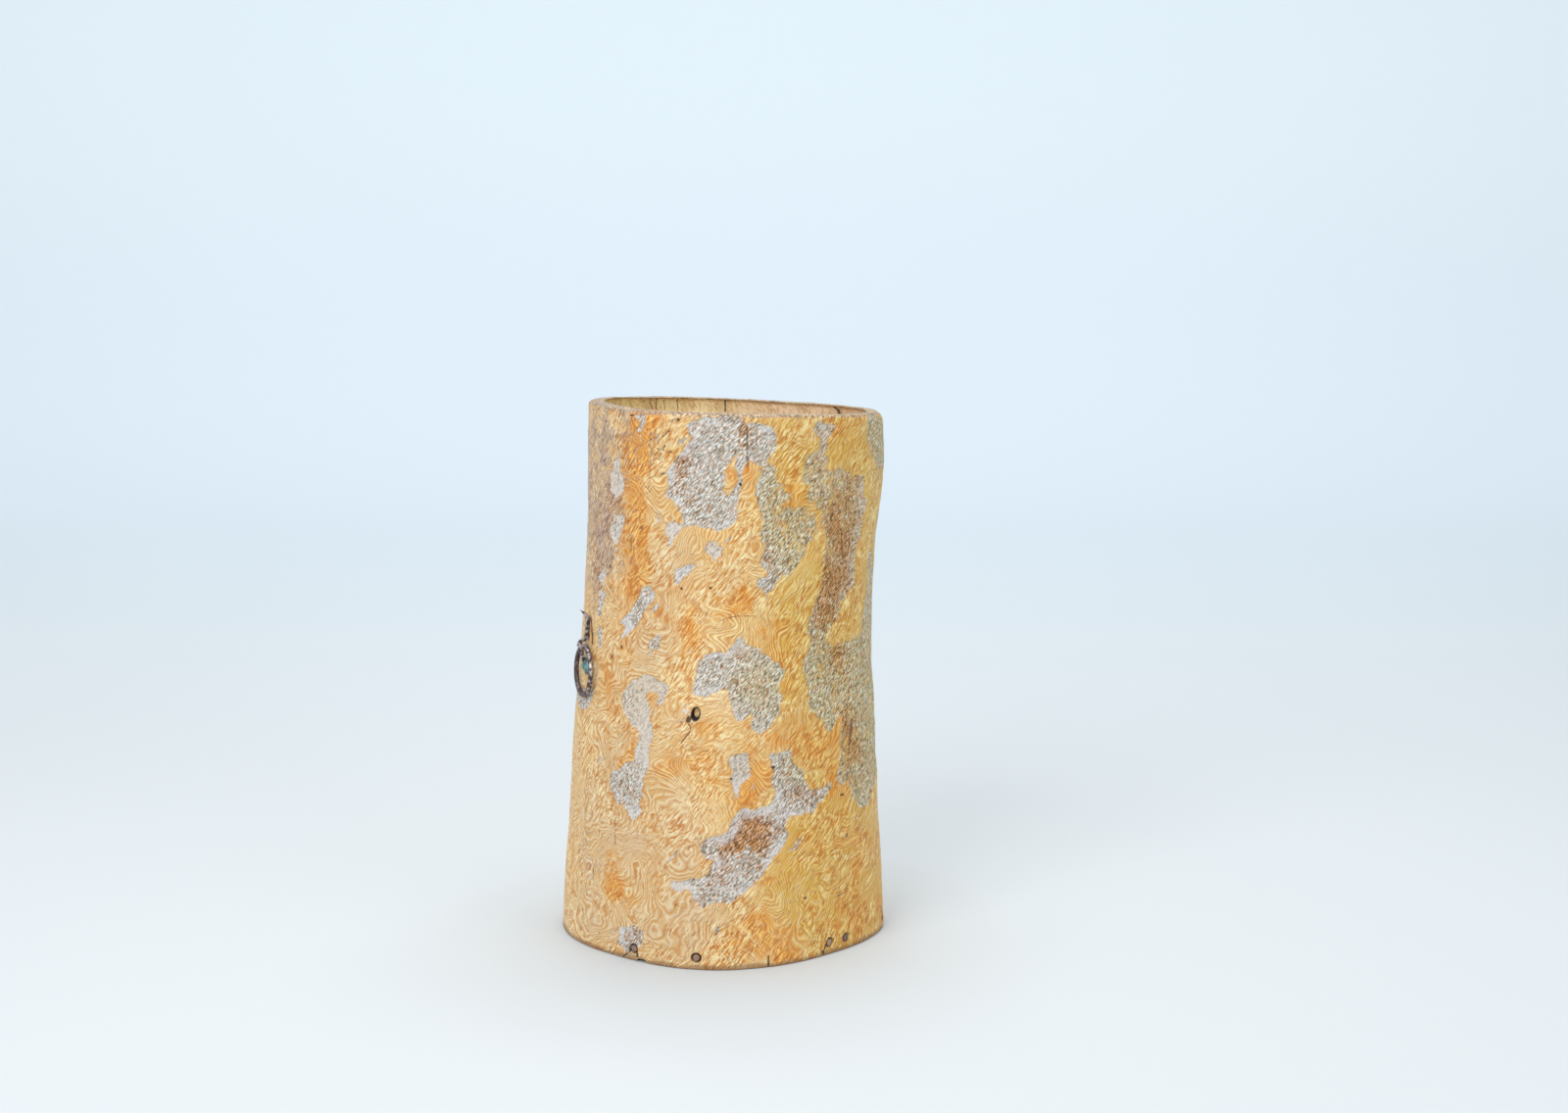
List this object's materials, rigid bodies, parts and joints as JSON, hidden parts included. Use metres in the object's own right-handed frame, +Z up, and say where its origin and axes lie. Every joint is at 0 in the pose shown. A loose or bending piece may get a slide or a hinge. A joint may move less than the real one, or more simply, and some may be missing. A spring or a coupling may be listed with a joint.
{
  "type": "grain measure",
  "caption": "Tall round grain measure hollowed from a length of burl trunk, with a pegged bottom board and a wrought-iron ring hanging from a bent nail on its side.",
  "frame": {"origin": "middle of the foot, on the ground", "axes": "+Z up, the front faces -Y, the iron ring hangs on the -X side"},
  "size_m": [0.2458, 0.2309, 0.41],
  "materials": {
    "trunk_wood": "worn satin burl, oiled by handling, with weathered grey patches",
    "board_wood": "dry and dull",
    "peg_wood": "dark end grain, dull",
    "wrought_iron": "dark forged iron, rubbed bright on its high spots",
    "copper_rove": "thin copper sheet covered in verdigris"
  },
  "bodies": {
    "measure": {"trunk": "trunk_wood", "bottom_board": "board_wood", "bottom_peg_1": "peg_wood", "bottom_peg_2": "peg_wood", "bottom_peg_3": "peg_wood", "bottom_peg_4": "peg_wood", "bottom_peg_5": "peg_wood", "bottom_peg_6": "peg_wood", "bottom_peg_7": "peg_wood", "bottom_peg_8": "peg_wood", "bottom_peg_9": "peg_wood", "bottom_peg_10": "peg_wood", "eye_nail": "wrought_iron", "rove_plate": "copper_rove"},
    "ring": {"ring": "wrought_iron"}
  },
  "joints": [
    {"name": "ring_swing", "type": "hinge", "parent": "measure", "child": "ring", "pos_m": [-0.10167, -0.03624, 0.225], "axis": [-0.3486, 0.9373, 0], "range_deg": [0, 165]}
  ]
}
